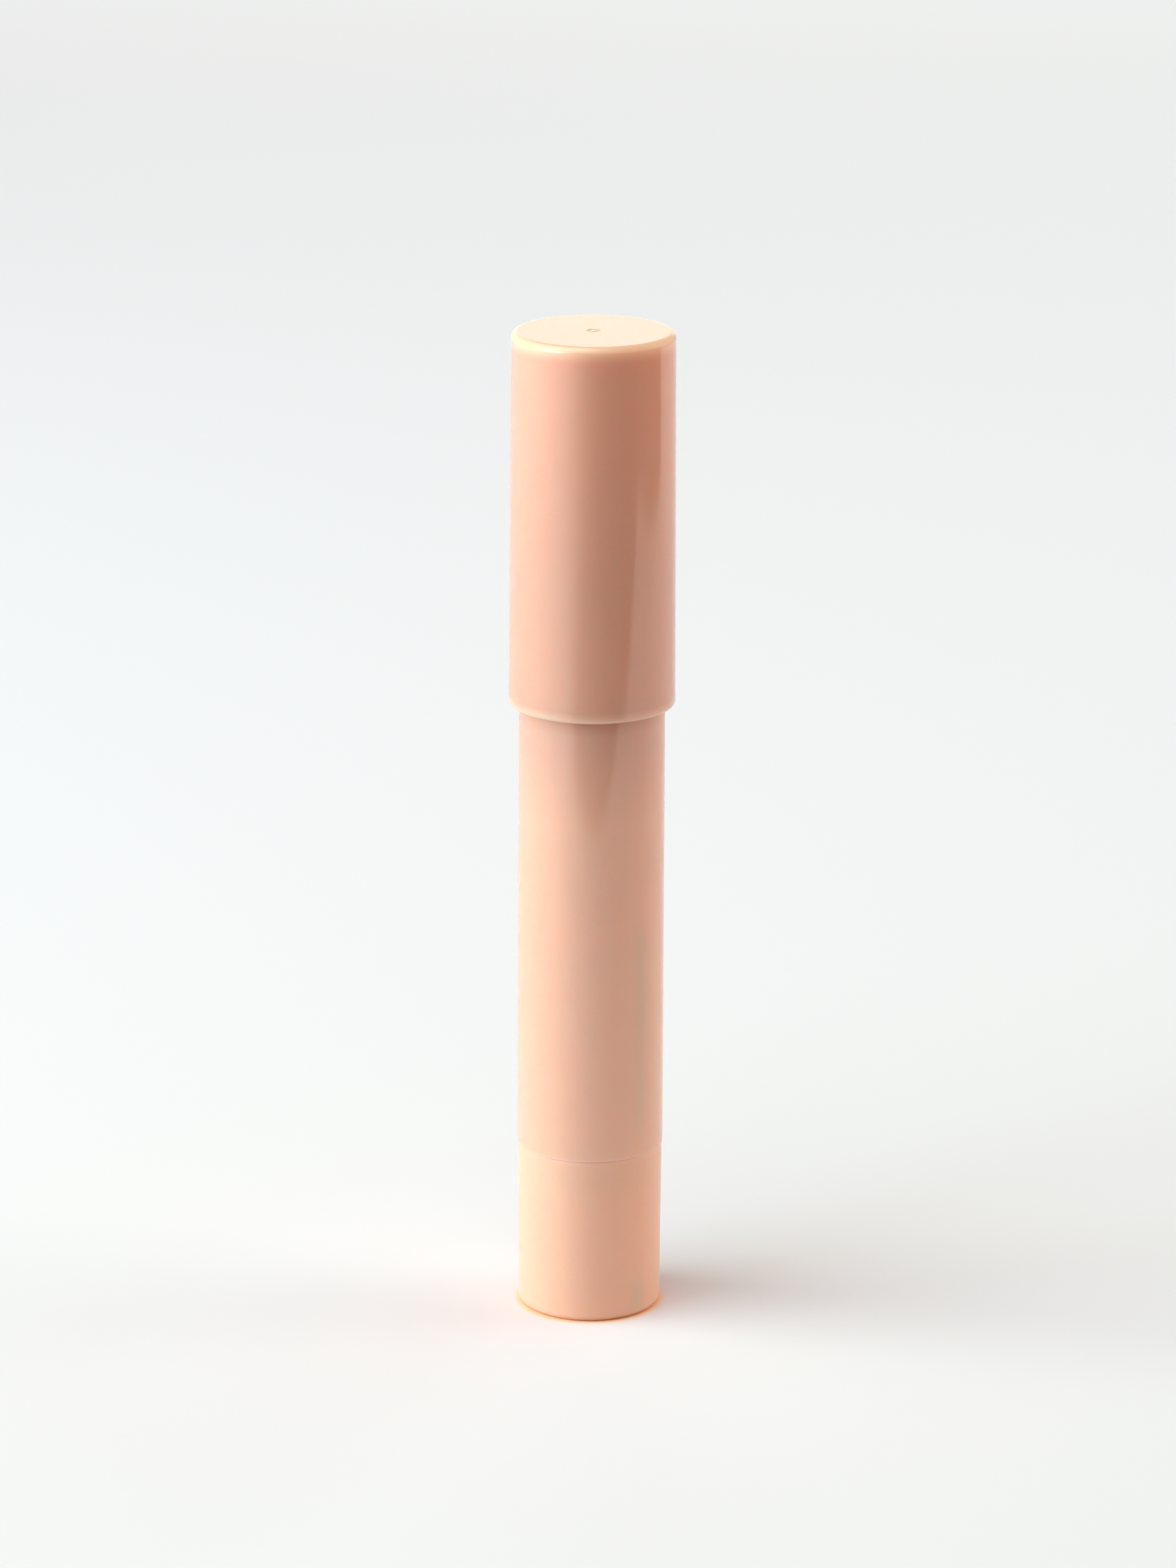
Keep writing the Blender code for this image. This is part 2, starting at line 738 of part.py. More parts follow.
def base_knob(material, parent):
    snap_radius = stub_radius + SNAP_HEIGHT + FIXED_GAP
    groove_half = SNAP_FLAT / 2 + RUNNING_GAP
    groove_run = snap_radius - knob_bore
    recess = knob_foot_radius - FOOT_RING
    outline = gate_mark(FOOT_RECESS, -1)
    outline += [
        (recess - FOOT_RECESS, FOOT_RECESS),
        (recess, 0),
    ]
    outline += arc((knob_foot_radius - KNOB_FOOT_EDGE, KNOB_FOOT_EDGE), KNOB_FOOT_EDGE, -90, 0)
    outline += [
        (knob_top_radius, KNOB_HEIGHT - KNOB_TOP_EDGE),
        (knob_top_radius - KNOB_TOP_EDGE, KNOB_HEIGHT),
        (knob_bore + KNOB_LEAD_IN, KNOB_HEIGHT),
        (knob_bore, KNOB_HEIGHT - KNOB_LEAD_IN),
        (knob_bore, snap_z + groove_half + groove_run),
        (snap_radius, snap_z + groove_half),
        (snap_radius, snap_z - groove_half),
        (knob_bore, snap_z - groove_half - groove_run),
        (knob_bore, KNOB_FLOOR),
        (0, KNOB_FLOOR),
    ]
    knob = turned("base_knob", outline, OUTER_SIDES, material, parent)
    ribs = bars(
        "knob_ribs",
        knob_bore - KNOB_RIB_DEPTH,
        knob_bore + KNOB_WALL / 2,
        KNOB_RIB_WIDTH,
        KNOB_FLOOR / 2,
        KNOB_FLOOR + KNOB_RIB_HEIGHT,
        KEY_COUNT,
        key_turn,
    )
    join(knob, ribs)
    return knob


# Drive insert: a disc pressed in the knob, with a socket for the screw's tail and webs to brace it
SOCKET_WALL = 0.0011
SOCKET_EDGE = 0.0002
WEB_WIDTH = 0.0008
WEB_SHARE = 0.7


def drive_insert(material, parent):
    disc_radius = knob_bore - FIXED_GAP
    boss_radius = hex_radius + FIXED_GAP + SOCKET_WALL
    top = DRIVE_DISC + SOCKET_DEPTH
    outline = [
        (0, 0),
        (disc_radius, 0),
        (disc_radius, DRIVE_DISC),
        (boss_radius, DRIVE_DISC),
        (boss_radius, top - SOCKET_EDGE),
        (boss_radius - SOCKET_EDGE, top),
        (0, top),
    ]
    insert = turned("drive_insert", outline, SMALL_SIDES, material, parent, insert_foot_z)
    webs = bars(
        "insert_webs",
        boss_radius - SOCKET_WALL / 2,
        disc_radius - KNOB_RIB_DEPTH,
        WEB_WIDTH,
        DRIVE_DISC / 2,
        DRIVE_DISC + SOCKET_DEPTH * WEB_SHARE,
        KEY_COUNT,
    )
    notches = bars(
        "insert_notches",
        knob_bore - KNOB_RIB_DEPTH - FIXED_GAP,
        disc_radius + OVERRUN,
        KNOB_RIB_WIDTH + 2 * FIXED_GAP,
        -OVERRUN,
        DRIVE_DISC + OVERRUN,
        KEY_COUNT,
        key_turn,
    )
    socket = prism("insert_socket", hex_radius + FIXED_GAP, 6, -OVERRUN, top + OVERRUN)
    join(insert, webs)
    cut(insert, notches)
    cut(insert, socket)
    return insert


# Colours, as linear values
PEACH = (0.74, 0.40, 0.27)
PEACH_SATIN = (0.74, 0.40, 0.28)
PEACH_NECK = (0.72, 0.39, 0.27)
NATURAL_WHITE = (0.80, 0.78, 0.73)
NATURAL_CLEAR = (0.70, 0.70, 0.68)
BALM_TINT = (0.62, 0.20, 0.15)
RING_BLACK = (0.05, 0.05, 0.05)

# Roughness
GLOSS = 0.16
NECK_GLOSS = 0.3
SATIN = 0.34
WAX = 0.38
CLEAR = 0.4
MOULDED = 0.45
RUBBER = 0.6

# Facets of the rings' round sections
DRAG_CORD_SIDES = 8
SEAL_CORD_SIDES = 6


def build():
    clear_scene()
    body_axis = empty("barrel_axis", barrel_foot_z)
    twist_axis = empty("twist_axis", 0)
    rise_axis = empty("rise_axis", nut_foot_z)
    cap_axis = empty("cap_axis", cap_mouth_z)
    cap_shell(plastic("cap_plastic", PEACH, GLOSS), cap_axis)
    cap_liner(plastic("liner_plastic", NATURAL_WHITE, MOULDED), cap_axis)
    barrel_sleeve(plastic("barrel_plastic", PEACH, GLOSS), body_axis)
    neck_collar(plastic("neck_plastic", PEACH_NECK, NECK_GLOSS), body_axis)
    guide_sleeve(plastic("guide_plastic", NATURAL_CLEAR, CLEAR), body_axis)
    base_knob(plastic("knob_plastic", PEACH_SATIN, SATIN), twist_axis)
    drive_insert(plastic("insert_plastic", NATURAL_WHITE, MOULDED), twist_axis)
    lead_screw(plastic("screw_plastic", NATURAL_WHITE, MOULDED), twist_axis)
    o_ring("drag_ring", drag_ring_radius, DRAG_CORD_RADIUS, INNER_SIDES, DRAG_CORD_SIDES,
           plastic("drag_rubber", RING_BLACK, RUBBER), body_axis, ring_z)
    o_ring("seal_ring", seal_ring_radius, SEAL_CORD_RADIUS, SMALL_SIDES, SEAL_CORD_SIDES,
           plastic("seal_rubber", RING_BLACK, RUBBER), twist_axis, ring_z)
    pusher_nut(plastic("pusher_plastic", NATURAL_WHITE, MOULDED), rise_axis)
    balm_cup(plastic("cup_plastic", NATURAL_WHITE, MOULDED), rise_axis)
    balm_stick(plastic("balm_wax", BALM_TINT, WAX), rise_axis)


build()
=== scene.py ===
import math

import bmesh
import bpy
from mathutils import Matrix, Vector


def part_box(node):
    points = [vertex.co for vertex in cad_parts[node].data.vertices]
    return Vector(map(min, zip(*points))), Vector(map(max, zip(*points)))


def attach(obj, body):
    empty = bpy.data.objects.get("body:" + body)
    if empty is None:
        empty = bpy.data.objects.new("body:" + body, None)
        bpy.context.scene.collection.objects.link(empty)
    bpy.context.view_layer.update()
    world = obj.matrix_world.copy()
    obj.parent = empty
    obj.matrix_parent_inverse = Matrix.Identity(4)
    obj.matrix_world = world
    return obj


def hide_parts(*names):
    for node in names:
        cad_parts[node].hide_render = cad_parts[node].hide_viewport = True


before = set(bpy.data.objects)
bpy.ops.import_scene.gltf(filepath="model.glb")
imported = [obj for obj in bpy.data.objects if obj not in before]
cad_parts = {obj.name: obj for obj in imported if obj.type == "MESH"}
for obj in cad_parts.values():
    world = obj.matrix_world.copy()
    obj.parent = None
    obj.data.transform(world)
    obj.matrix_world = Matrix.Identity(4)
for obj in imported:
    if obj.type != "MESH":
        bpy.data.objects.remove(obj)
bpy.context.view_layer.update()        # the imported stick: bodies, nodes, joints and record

scene = bpy.context.scene
mm = 0.001
fullTurn = math.tau
eighthTurn = fullTurn / 8
print("frame loaded:", len(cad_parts), "solids")


# Small helpers, shared by the shapes and the finishes

def plug(tree, value, socket):        # a number or colour is typed in, an output is wired in
    if isinstance(value, bpy.types.NodeSocket):
        tree.links.new(value, socket)
    else:
        socket.default_value = value


def addNode(tree, kind, values=None, **settings):
    node = tree.nodes.new(kind)
    for name, value in settings.items():
        setattr(node, name, value)
    for name, value in (values or {}).items():
        plug(tree, value, node.inputs[name])
    return node


def calc(tree, operation, *values):
    return addNode(tree, "ShaderNodeMath", dict(enumerate(values)), operation=operation).outputs[0]


def remap(tree, value, fromLow, fromHigh, toLow=0.0, toHigh=1.0, smooth=False):
    values = dict(enumerate((value, fromLow, fromHigh, toLow, toHigh)))
    kind = "SMOOTHSTEP" if smooth else "LINEAR"
    return addNode(tree, "ShaderNodeMapRange", values, interpolation_type=kind).outputs[0]


def addObject(name, data):
    item = bpy.data.objects.new(name, data)
    scene.collection.objects.link(item)
    return item


def takeMesh(bm, name, material):        # the edited mesh as a new one with a single finish
    mesh = bpy.data.meshes.new(name)
    bm.to_mesh(mesh)
    bm.free()
    mesh.materials.append(material)
    return mesh


def reach(node):        # foot, top and outer radius of a solid, in millimetres
    low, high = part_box(node)
    return low.z / mm, high.z / mm, high.x / mm


# Geometry Nodes: one tree for each rule, with its sizes as named inputs

def startTree(name, sockets):
    tree = bpy.data.node_groups.new(name, "GeometryNodeTree")
    tree.is_modifier = True
    tree.interface.new_socket("Geometry", in_out="OUTPUT", socket_type="NodeSocketGeometry")
    for label, kind in sockets.items():
        tree.interface.new_socket(label, in_out="INPUT", socket_type="NodeSocket" + kind)
    sizes = tree.nodes.new("NodeGroupInput")
    return tree, sizes.outputs


def endTree(tree, geometry, weld, material):
    welded = addNode(tree, "GeometryNodeMergeByDistance", {"Geometry": geometry, "Distance": weld})
    realized = addNode(tree, "GeometryNodeRealizeInstances", {"Geometry": welded.outputs[0]})
    finished = addNode(tree, "GeometryNodeSetMaterial",
                       {"Geometry": realized.outputs[0], "Material": material})
    result = tree.nodes.new("NodeGroupOutput")
    tree.links.new(finished.outputs[0], result.inputs[0])
    return tree


def makeTurnedTree():        # an outline swept round the axis, as a lathe would
    tree, size = startTree("turnedPiece", {
        "Outline": "Object", "Sides": "Int", "Sweep radius": "Float", "Weld": "Float",
        "Material": "Material"})
    outline = addNode(tree, "GeometryNodeObjectInfo", {"Object": size["Outline"]})
    path = addNode(tree, "GeometryNodeCurvePrimitiveCircle",
                   {"Resolution": size["Sides"], "Radius": size["Sweep radius"]})
    sweep = addNode(tree, "GeometryNodeCurveToMesh", {
        "Curve": path.outputs["Curve"], "Profile Curve": outline.outputs["Geometry"]})
    return endTree(tree, sweep.outputs["Mesh"], size["Weld"], size["Material"])


def makeBarRingTree():        # straight bars round the axis: fins, splines and ribs
    tree, size = startTree("barRing", {
        "Inner radius": "Float", "Outer radius": "Float", "Width": "Float", "Foot": "Float",
        "Top": "Float", "Count": "Int", "First angle": "Float", "Weld": "Float",
        "Material": "Material"})
    depth = calc(tree, "SUBTRACT", size["Outer radius"], size["Inner radius"])
    height = calc(tree, "SUBTRACT", size["Top"], size["Foot"])
    box = addNode(tree, "ShaderNodeCombineXYZ", {"X": depth, "Y": size["Width"], "Z": height})
    bar = addNode(tree, "GeometryNodeMeshCube", {"Size": box.outputs[0]})
    middleRadius = calc(tree, "MULTIPLY_ADD", depth, 0.5, size["Inner radius"])
    middleHeight = calc(tree, "MULTIPLY_ADD", height, 0.5, size["Foot"])
    place = addNode(tree, "ShaderNodeCombineXYZ", {"X": middleRadius, "Z": middleHeight})
    moved = addNode(tree, "GeometryNodeTransform",
                    {"Geometry": bar.outputs["Mesh"], "Translation": place.outputs[0]})
    points = addNode(tree, "GeometryNodeMeshLine", {"Count": size["Count"], "Offset": (0, 0, 0)})
    index = tree.nodes.new("GeometryNodeInputIndex")
    step = calc(tree, "DIVIDE", fullTurn, size["Count"])
    angle = calc(tree, "MULTIPLY_ADD", index.outputs[0], step, size["First angle"])
    turn = addNode(tree, "ShaderNodeCombineXYZ", {"Z": angle})
    ring = addNode(tree, "GeometryNodeInstanceOnPoints", {
        "Points": points.outputs["Mesh"], "Instance": moved.outputs["Geometry"],
        "Rotation": turn.outputs[0]})
    return endTree(tree, ring.outputs["Instances"], size["Weld"], size["Material"])


def makeBulletTree():        # a round bar with a superellipse tip, for the balm
    tree, size = startTree("balmBullet", {
        "Radius": "Float", "Shoulder": "Float", "Tip length": "Float", "Tip power": "Float",
        "Foot height": "Float", "Rings": "Int", "Sides": "Int", "Weld": "Float",
        "Material": "Material"})
    grid = addNode(tree, "GeometryNodeMeshGrid", {        # along it, -1 is the foot and 1 the tip
        "Size X": fullTurn, "Size Y": 2.0, "Vertices X": size["Sides"], "Vertices Y": size["Rings"]})
    position = tree.nodes.new("GeometryNodeInputPosition")
    split = addNode(tree, "ShaderNodeSeparateXYZ", {"Vector": position.outputs[0]})
    angle, along = split.outputs["X"], split.outputs["Y"]
    dome = calc(tree, "MULTIPLY", calc(tree, "MAXIMUM", along, 0.0), math.pi / 2)
    power = calc(tree, "DIVIDE", 2.0, size["Tip power"])
    inward = calc(tree, "POWER", calc(tree, "MAXIMUM", calc(tree, "COSINE", dome), 0.0), power)
    upward = calc(tree, "POWER", calc(tree, "SINE", dome), power)
    radius = calc(tree, "MULTIPLY", size["Radius"], inward)
    straight = calc(tree, "ADD", calc(tree, "MINIMUM", along, 0.0), 1.0)
    height = calc(tree, "MULTIPLY_ADD", size["Tip length"], upward,
                  calc(tree, "MULTIPLY_ADD", straight, size["Shoulder"], size["Foot height"]))
    placed = addNode(tree, "ShaderNodeCombineXYZ", {
        "X": calc(tree, "MULTIPLY", radius, calc(tree, "COSINE", angle)),
        "Y": calc(tree, "MULTIPLY", radius, calc(tree, "SINE", angle)),
        "Z": height})
    bent = addNode(tree, "GeometryNodeSetPosition",
                   {"Geometry": grid.outputs["Mesh"], "Position": placed.outputs[0]})
    return endTree(tree, bent.outputs["Geometry"], size["Weld"], size["Material"])


turnedTree = makeTurnedTree()
barRingTree = makeBarRingTree()
bulletTree = makeBulletTree()
weldDistance = 0.002 * mm
sharpAngle = math.radians(30)        # steeper edges stay crisp


def runTree(name, tree, values):        # gives the tree's result as a plain mesh object at the origin
    holder = addObject(name + "Holder", bpy.data.meshes.new(name + "Holder"))
    modifier = holder.modifiers.new(tree.name, "NODES")
    modifier.node_group = tree
    for socket in tree.interface.items_tree:
        if socket.in_out == "INPUT":
            modifier[socket.identifier] = values[socket.name]
    evaluated = holder.evaluated_get(bpy.context.evaluated_depsgraph_get())
    mesh = bpy.data.meshes.new_from_object(evaluated)
    holder.modifiers.remove(modifier)
    bpy.data.objects.remove(holder)
    mesh.name = name
    return addObject(name, mesh)


def finishMesh(piece):        # cleans the mesh, turns its faces outwards and smooths it
    bm = bmesh.new()
    bm.from_mesh(piece.data)
    bmesh.ops.dissolve_degenerate(bm, dist=weldDistance, edges=bm.edges)
    bmesh.ops.recalc_face_normals(bm, faces=bm.faces)
    bm.to_mesh(piece.data)
    bm.free()
    piece.data.shade_smooth()
    piece.data.set_sharp_from_angle(angle=sharpAngle)
    return piece


def joinPieces(name, pieces, material):
    bm = bmesh.new()
    for piece in pieces:
        bm.from_mesh(piece.data)
        bpy.data.objects.remove(piece)
    for face in bm.faces:
        face.material_index = 0        # the bars' faces come with another slot
    return addObject(name, takeMesh(bm, name, material))


# Outlines are (radius, height) points in millimetres, round one side of a piece's section

def corner(radius, height, size, start, end, steps):        # degrees: 0 outwards, 90 up
    angles = [math.radians(start + (end - start) * i / steps) for i in range(steps + 1)]
    return [(radius + size * math.cos(a), height + size * math.sin(a)) for a in angles]


edgeGap = 0.05        # from the end of a long run to its extra point


def edgeLoops(outline, closed):        # extra points beside the ends of long runs keep flats flat
    longRun = 6 * edgeGap
    ends = outline[1:] + outline[:1] if closed else outline[1:]
    result = []
    for (r0, z0), (r1, z1) in zip(outline, ends):
        result.append((r0, z0))
        length = math.hypot(r1 - r0, z1 - z0)
        if length > longRun:
            for share in (edgeGap / length, 1 - edgeGap / length):
                result.append((r0 + (r1 - r0) * share, z0 + (z1 - z0) * share))
    if not closed:
        result.append(outline[-1])
    return result


def turnedPiece(name, outline, sides, material):
    closed = outline[0][0] > 0 or outline[-1][0] > 0        # an open outline starts and ends on the axis
    points = edgeLoops(outline, closed)
    curve = bpy.data.curves.new(name + "Outline", "CURVE")
    curve.dimensions = "3D"
    spline = curve.splines.new("POLY")
    spline.points.add(len(points) - 1)
    sweepRadius = max(r for r, z in points) * mm
    for point, (r, z) in zip(spline.points, points):
        point.co = (r * mm - sweepRadius, -z * mm, 0, 1)
    spline.use_cyclic_u = closed
    holder = addObject(name + "Outline", curve)
    piece = runTree(name, turnedTree, {
        "Outline": holder, "Sides": sides, "Sweep radius": sweepRadius, "Weld": weldDistance,
        "Material": material})
    bpy.data.objects.remove(holder)
    return finishMesh(piece)


def barRing(name, inner, outer, width, foot, top, count, firstAngle, material):
    piece = runTree(name, barRingTree, {
        "Inner radius": inner * mm, "Outer radius": outer * mm, "Width": width * mm,
        "Foot": foot * mm, "Top": top * mm, "Count": count, "First angle": firstAngle,
        "Weld": weldDistance, "Material": material})
    return finishMesh(piece)


# Finishes

def startMaterial(name):
    material = bpy.data.materials.new(name)
    material.use_nodes = True
    tree = material.node_tree
    shader = tree.nodes["Principled BSDF"]
    place = tree.nodes.new("ShaderNodeTexCoord").outputs["Object"]
    return material, tree, shader, place


def noise(tree, place, scale, detail, stretch=(1, 1, 1)):
    mapped = addNode(tree, "ShaderNodeMapping", {"Vector": place, "Scale": stretch}).outputs[0]
    return addNode(tree, "ShaderNodeTexNoise", {
        "Vector": mapped, "Scale": scale, "Detail": detail}).outputs[0]


def blend(tree, share, first, second):        # colours, mixed by a share: sockets 6 and 7 of the node
    first, second = ((*c, 1) if isinstance(c, tuple) else c for c in (first, second))
    return addNode(tree, "ShaderNodeMix", {0: share, 6: first, 7: second}, data_type="RGBA").outputs[2]


def bump(tree, height, distance, **values):
    return addNode(tree, "ShaderNodeBump", {"Height": height, "Distance": distance, **values}).outputs[0]


def turnClear(tree, shader, share):        # lets light and sight through where the share is 1
    clear = addNode(tree, "ShaderNodeBsdfTransparent").outputs[0]
    mixed = addNode(tree, "ShaderNodeMixShader", {0: share, 1: shader.outputs[0], 2: clear}).outputs[0]
    tree.links.new(mixed, tree.nodes["Material Output"].inputs["Surface"])


def paintedBand(start, full, colour, growth=1.0):        # painted light or shade: colour that varies with height, in millimetres
    return {"start": start, "full": full, "colour": colour, "growth": growth}


plasticNoise = {        # shared by all the finishes; a range is the part of the noise that counts
    "cloudDetail": 3.0, "cloudRange": (0.3, 0.7), "wearDetail": 4.0, "wearRange": (0.35, 0.75),
    "grainDetail": 2.0, "waveDetail": 1.0,
}


def softEdge(tree, level, rough, soft):        # the crown's rounding is less polished than its face
    face = soft["face"]
    edge = remap(tree, level, soft["start"] * mm, soft["full"] * mm, 0.0, soft["roughness"])
    inner = remap(tree, level, (face - soft["fade"]) * mm, face * mm, soft["roughness"], 0.0)
    return calc(tree, "MAXIMUM", rough, calc(tree, "MINIMUM", edge, inner))


def firmEdge(tree, level, subsurface, firm):        # beside the seam less light is lost in the gap
    return remap(tree, level, firm["start"] * mm, firm["full"] * mm, subsurface, firm["subsurface"])


def mouldedPlastic(name, look):
    material, tree, shader, place = startMaterial(name)
    level = addNode(tree, "ShaderNodeSeparateXYZ", {"Vector": place}).outputs["Z"]
    cloud = noise(tree, place, look["cloudScale"], plasticNoise["cloudDetail"], look["cloudStretch"])
    clouds = remap(tree, cloud, *plasticNoise["cloudRange"])
    colour = blend(tree, clouds, look["colour"], look["cloudColour"])
    for change in look["paintedLightBands"]:        # painted light and shade by height: painted glow and highlights at the ends of the walls, painted shade under the cap
        share = remap(tree, level, change["start"] * mm, change["full"] * mm)
        colour = blend(tree, calc(tree, "POWER", share, change["growth"]), colour, change["colour"])
    wear = noise(tree, place, look["wearScale"], plasticNoise["wearDetail"], look["wearStretch"])
    rough = remap(tree, wear, *plasticNoise["wearRange"], look["roughness"], look["roughnessWorn"])
    if "soft" in look:
        rough = softEdge(tree, level, rough, look["soft"])
    waves = noise(tree, place, look["waveScale"], plasticNoise["waveDetail"])
    grain = noise(tree, place, look["grainScale"], plasticNoise["grainDetail"])
    waved = bump(tree, waves, look["waveHeight"])
    subsurface = look["subsurface"]
    if "firm" in look:
        subsurface = firmEdge(tree, level, subsurface, look["firm"])
    values = {
        "Base Color": colour, "Roughness": rough, "IOR": look["ior"],
        "Normal": bump(tree, grain, look["grainHeight"], Normal=waved), "Subsurface Weight": subsurface,
        "Subsurface Radius": look["depthRatio"], "Subsurface Scale": look["depth"] * mm,
        "Coat Weight": look["coat"], "Coat Roughness": look["coatRoughness"],
    }
    for socket, value in values.items():
        plug(tree, value, shader.inputs[socket])
    return material


capFoot, capTop, _ = reach("cap_shell")
barrelFoot, _, _ = reach("barrel_sleeve")
_, knobTop, _ = reach("base_knob")

glossLook = {        # linear colours, noise scales per metre, bumps in metres, depth in millimetres
    "colour": (0.72, 0.306, 0.207), "cloudColour": (0.705, 0.295, 0.198), "cloudScale": 60.0,
    "cloudStretch": (1, 1, 0.35), "grainScale": 9000.0, "grainHeight": 0.0000003, "waveScale": 110.0,
    "waveHeight": 0.000006, "wearScale": 420.0, "wearStretch": (1, 1, 0.3), "roughness": 0.07,
    "roughnessWorn": 0.1, "ior": 1.68, "subsurface": 0.7, "depthRatio": (1.0, 0.16, 0.11), "depth": 5.5,
    "coat": 0.0, "coatRoughness": 0.05, "paintedLightBands": (),
}
capLook = dict(
    glossLook,
    # painted light and shade: a painted glow over the upper cap and a paler painted crown ring, the crown
    # face painted darker where most light falls on it, and a painted highlight along the rim's rounding
    paintedLightBands=(
        paintedBand(capTop - 23.46, capTop - 1.46, (0.955, 0.32, 0.208)),
        paintedBand(capTop - 1.71, capTop - 0.41, (0.99, 0.52, 0.33), growth=1.4),
        paintedBand(capTop - 0.06, capTop - 0.005, (0.95, 0.43, 0.28)),
        paintedBand(capFoot + 1.09, capFoot + 0.49, (0.78, 0.385, 0.27))),
    soft={"start": capTop - 1.06, "full": capTop - 0.46, "face": capTop - 0.003, "fade": 0.04,
          "roughness": 0.3})
barrelLook = dict(
    glossLook, colour=(0.955, 0.368, 0.25), cloudColour=(0.945, 0.356, 0.24), roughness=0.065,
    roughnessWorn=0.09,
    # painted light and shade: painted lighter towards the foot where the floor's light reaches, painted
    # shade below the cap with a darker painted shadow under its rim, and a painted highlight along the
    # seam
    paintedLightBands=(
        paintedBand(barrelFoot + 28.0, barrelFoot + 3.0, (0.985, 0.382, 0.26)),
        paintedBand(capFoot - 10.66, capFoot - 3.16, (0.745, 0.315, 0.22)),
        paintedBand(capFoot - 1.46, capFoot - 0.06, (0.69, 0.27, 0.175)),
        paintedBand(barrelFoot + 0.15, barrelFoot - 0.1, (0.985, 0.405, 0.28))),
    firm={"start": barrelFoot + 0.7, "full": barrelFoot, "subsurface": 0.42})
satinLook = dict(
    glossLook, colour=(0.985, 0.415, 0.28), cloudColour=(0.975, 0.402, 0.27), ior=1.55, roughness=0.34,
    roughnessWorn=0.42, grainScale=7000.0, grainHeight=0.0000035, waveScale=90.0, waveHeight=0.000004,
    # painted highlight along the knob's top edge, over the seam's shade
    paintedLightBands=(paintedBand(knobTop - 0.3, knobTop - 0.05, (0.99, 0.45, 0.31)),),
    firm={"start": knobTop - 0.9, "full": knobTop - 0.2, "subsurface": 0.42})
neckLook = dict(glossLook, roughness=0.2, roughnessWorn=0.3)
whiteLook = dict(
    glossLook, colour=(0.80, 0.78, 0.73), cloudColour=(0.76, 0.74, 0.69), cloudScale=90.0,
    cloudStretch=(1, 1, 1), grainScale=6000.0, grainHeight=0.000001, waveScale=160.0, wearScale=300.0,
    wearStretch=(1, 1, 1), roughness=0.36, roughnessWorn=0.5, ior=1.49, subsurface=0.6,
    depthRatio=(1.0, 0.9, 0.75), depth=1.2)
clearLook = dict(
    whiteLook, colour=(0.72, 0.72, 0.70), cloudColour=(0.66, 0.67, 0.66), roughness=0.3,
    roughnessWorn=0.42, subsurface=0.9, depth=2.5)
rubberLook = dict(
    whiteLook, colour=(0.03, 0.03, 0.032), cloudColour=(0.05, 0.05, 0.05), roughness=0.55,
    roughnessWorn=0.7, subsurface=0.0)
waxLook = dict(
    whiteLook, colour=(0.62, 0.19, 0.145), cloudColour=(0.55, 0.155, 0.12), cloudScale=240.0,
    grainScale=3200.0, grainHeight=0.000004, waveScale=260.0, waveHeight=0.00002, roughness=0.3,
    roughnessWorn=0.44, ior=1.45, subsurface=0.9, depthRatio=(1.0, 0.3, 0.2), depth=1.6, coat=0.25,
    coatRoughness=0.18)

capGloss = mouldedPlastic("capGloss", capLook)
barrelGloss = mouldedPlastic("barrelGloss", barrelLook)
knobSatin = mouldedPlastic("knobSatin", satinLook)
neckPlastic = mouldedPlastic("neckPlastic", neckLook)
innerWhite = mouldedPlastic("innerWhite", whiteLook)
innerClear = mouldedPlastic("innerClear", clearLook)
ringRubber = mouldedPlastic("ringRubber", rubberLook)
balmWax = mouldedPlastic("balmWax", waxLook)
print("finishes made")


def stand(piece, node, body):        # the piece takes the place of one solid
    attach(piece, body)
    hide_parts(node)


# Gate mark of the mould, a shallow dish with a nub: in the cap's crown and under the knob

gate = {
    "edge": 0.06, "outsetShare": 0.2, "wallAngle": 160, "nubRadius": 0.27, "nubEdge": 0.04,
    "nubSkirt": 0.03,
}


def gateMark(look, face, up):        # from the axis out to the flat face; up is 1, or -1 for an underside
    dish = face - up * look["gateDepth"]
    nub = face - up * look["nubDrop"]
    edge, nubEdge = gate["edge"], gate["nubEdge"]
    outline = [(0, nub)]
    outline += corner(gate["nubRadius"] - nubEdge, nub - up * nubEdge, nubEdge, 90 * up, 0, steps=5)
    outline += [(gate["nubRadius"] + gate["nubSkirt"], dish), (look["gateRadius"] - 2 * edge, dish)]
    outline += corner(look["gateRadius"] + edge * gate["outsetShare"], face - up * edge, edge,
                      gate["wallAngle"] * up, 90 * up, steps=6)
    return outline


# Cap: glossy shell with a closed crown

cap = {
    "crownRadius": 7.88, "crownEdge": 0.68, "rimEdge": 0.42, "rimInnerEdge": 0.15, "bore": 7.02,
    "mouthBore": 7.32, "mouthDepth": 1.8, "crownThickness": 1.1, "ceilingEdge": 0.6,
    "gateRadius": 0.72, "gateDepth": 0.07, "nubDrop": 0.02, "sides": 256,
}


def makeCap():
    foot, top, rimRadius = reach("cap_shell")
    edge, rim, inner = cap["crownEdge"], cap["rimEdge"], cap["rimInnerEdge"]
    outline = gateMark(cap, top, 1)
    outline += corner(cap["crownRadius"] - edge, top - edge, edge, 90, 0, steps=14)
    outline += corner(rimRadius - rim, foot + rim, rim, 0, -90, steps=12)
    outline += corner(cap["mouthBore"] + inner, foot + inner, inner, -90, -180, steps=5)
    outline += [(cap["mouthBore"], foot + cap["mouthDepth"]), (cap["bore"], foot + cap["mouthDepth"])]
    ceiling, fillet = top - cap["crownThickness"], cap["ceilingEdge"]
    outline += corner(cap["bore"] - fillet, ceiling - fillet, fillet, 0, 90, steps=6)
    outline += [(0, ceiling)]
    piece = turnedPiece("capShell", outline, cap["sides"], capGloss)
    stand(piece, "cap_shell", "cap")


makeCap()


